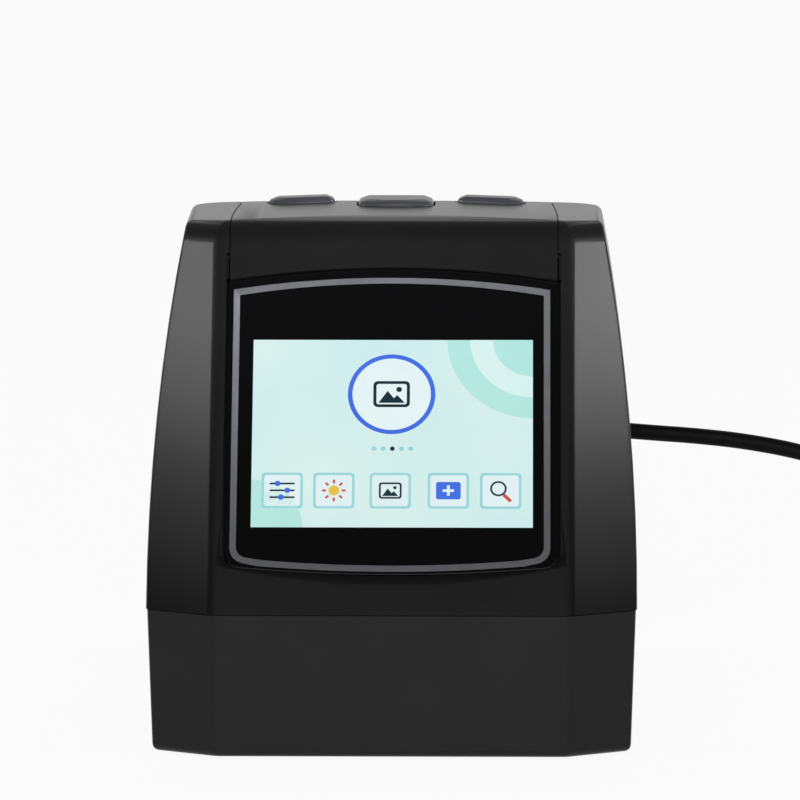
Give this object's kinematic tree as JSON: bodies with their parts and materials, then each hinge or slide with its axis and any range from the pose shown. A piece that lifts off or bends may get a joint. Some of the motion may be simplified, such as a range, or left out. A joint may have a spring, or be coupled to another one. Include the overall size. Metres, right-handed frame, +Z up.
{
  "type": "film negative scanner",
  "caption": "Desktop film negative scanner: wedge-shaped black housing with a tilted display, press keys on top, a film channel through the base and a data cord at the rear.",
  "frame": {"origin": "on the table, under the middle of the scanner without its cord", "axes": "+Z up, -Y is the front with the display, +X is to the right as a user facing it sees it"},
  "size_m": [0.2024, 0.1295, 0.0917],
  "materials": {
    "base_plastic": "satin, fine spark-eroded grain",
    "housing_plastic": "satin, fine spark-eroded grain",
    "window_black": "polished, printed black on the rear with a grey line",
    "screen": "lit display",
    "steel_sheet": "rolled sheet",
    "key_plastic": "satin",
    "inner_plastic": "dull black",
    "switch_metal": "tinned",
    "circuit_board": "green solder mask",
    "chip_black": "epoxy",
    "port_metal": "nickel plated",
    "sensor_glass": "dark cover glass",
    "lens_glass": "coated",
    "guide_plastic": "dull black",
    "diffuser_white": "milky",
    "light_white": "white",
    "led_yellow": "phosphor",
    "foot_rubber": "matte",
    "screw_steel": "zinc plated",
    "plug_metal": "nickel plated",
    "cord_plastic": "semi-matt vinyl",
    "tie_plastic": "flat band"
  },
  "bodies": {
    "scanner": {"base_housing": "base_plastic", "upper_housing": "housing_plastic", "top_cover": "housing_plastic", "display_window": "window_black", "lcd_module": "screen", "lcd_bracket": "steel_sheet", "key_switches": "switch_metal", "key_board": "circuit_board", "main_board": "circuit_board", "main_chips": "chip_black", "usb_port": "port_metal", "card_slot": "port_metal", "camera_board": "circuit_board", "image_sensor": "sensor_glass", "lens_holder": "inner_plastic", "lens_barrel": "inner_plastic", "lens_glasses": "lens_glass", "lens_hood": "inner_plastic", "camera_bracket": "inner_plastic", "guide_upper": "guide_plastic", "guide_lower": "guide_plastic", "film_detent": "steel_sheet", "diffuser": "diffuser_white", "light_box": "light_white", "light_board": "light_white", "light_leds": "led_yellow", "rubber_feet": "foot_rubber", "housing_screws": "screw_steel", "small_screws": "screw_steel", "device_plug_shell": "plug_metal", "device_plug": "cord_plastic", "usb_cord": "cord_plastic", "cord_coil": "cord_plastic", "coil_tie": "tie_plastic", "computer_plug": "cord_plastic", "computer_plug_shell": "plug_metal"},
    "key_left_set": {"key_left": "key_plastic", "plunger_left": "inner_plastic"},
    "key_middle_set": {"key_middle": "key_plastic", "plunger_middle": "inner_plastic"},
    "key_right_set": {"key_right": "key_plastic", "plunger_right": "inner_plastic"}
  },
  "joints": [
    {"name": "key_left_press", "type": "slide", "parent": "scanner", "child": "key_left_set", "axis": [0, 0, -1], "range_m": [0, 0.0006], "stiffness_N_per_m": 500, "springref_m": -0.0008},
    {"name": "key_middle_press", "type": "slide", "parent": "scanner", "child": "key_middle_set", "axis": [0, 0, -1], "range_m": [0, 0.0006], "stiffness_N_per_m": 500, "springref_m": -0.0008},
    {"name": "key_right_press", "type": "slide", "parent": "scanner", "child": "key_right_set", "axis": [0, 0, -1], "range_m": [0, 0.0006], "stiffness_N_per_m": 500, "springref_m": -0.0008}
  ]
}
